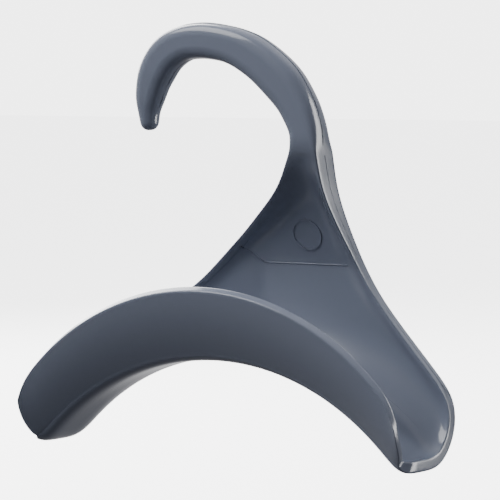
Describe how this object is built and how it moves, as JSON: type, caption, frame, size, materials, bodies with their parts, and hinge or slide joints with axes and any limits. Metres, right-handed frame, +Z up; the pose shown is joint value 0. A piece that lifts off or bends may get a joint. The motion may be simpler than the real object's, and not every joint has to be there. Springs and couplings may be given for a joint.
{
  "type": "hook-on saddle hanger",
  "caption": "Moulded plastic hanger with a rail hook above a curved, trough-shaped saddle for holding straps or a looped tube.",
  "frame": {"origin": "rail seat: the highest point of the hook's inner curve, in the middle of the hook's depth", "axes": "+Z up when hung, +X along the saddle towards its right end seen from the front, -Y towards the open front of the trough"},
  "size_m": [0.1698, 0.0522, 0.1679],
  "materials": {
    "slate_plastic": "smooth glossy moulding"
  },
  "bodies": {
    "root": {"front_rim": "slate_plastic", "front_wall": "slate_plastic", "left_floor_end": "slate_plastic", "saddle_floor": "slate_plastic", "right_floor_end": "slate_plastic", "back_curve": "slate_plastic", "left_panel": "slate_plastic", "left_rim_low": "slate_plastic", "left_rim_high": "slate_plastic", "right_panel": "slate_plastic", "right_rim_low": "slate_plastic", "upper_panel": "slate_plastic", "right_rim_high": "slate_plastic", "neck_root": "slate_plastic", "hook_neck": "slate_plastic", "hook_bow": "slate_plastic", "hook_arm": "slate_plastic", "hook_tip": "slate_plastic", "raised_ring": "slate_plastic"}
  },
  "joints": []
}
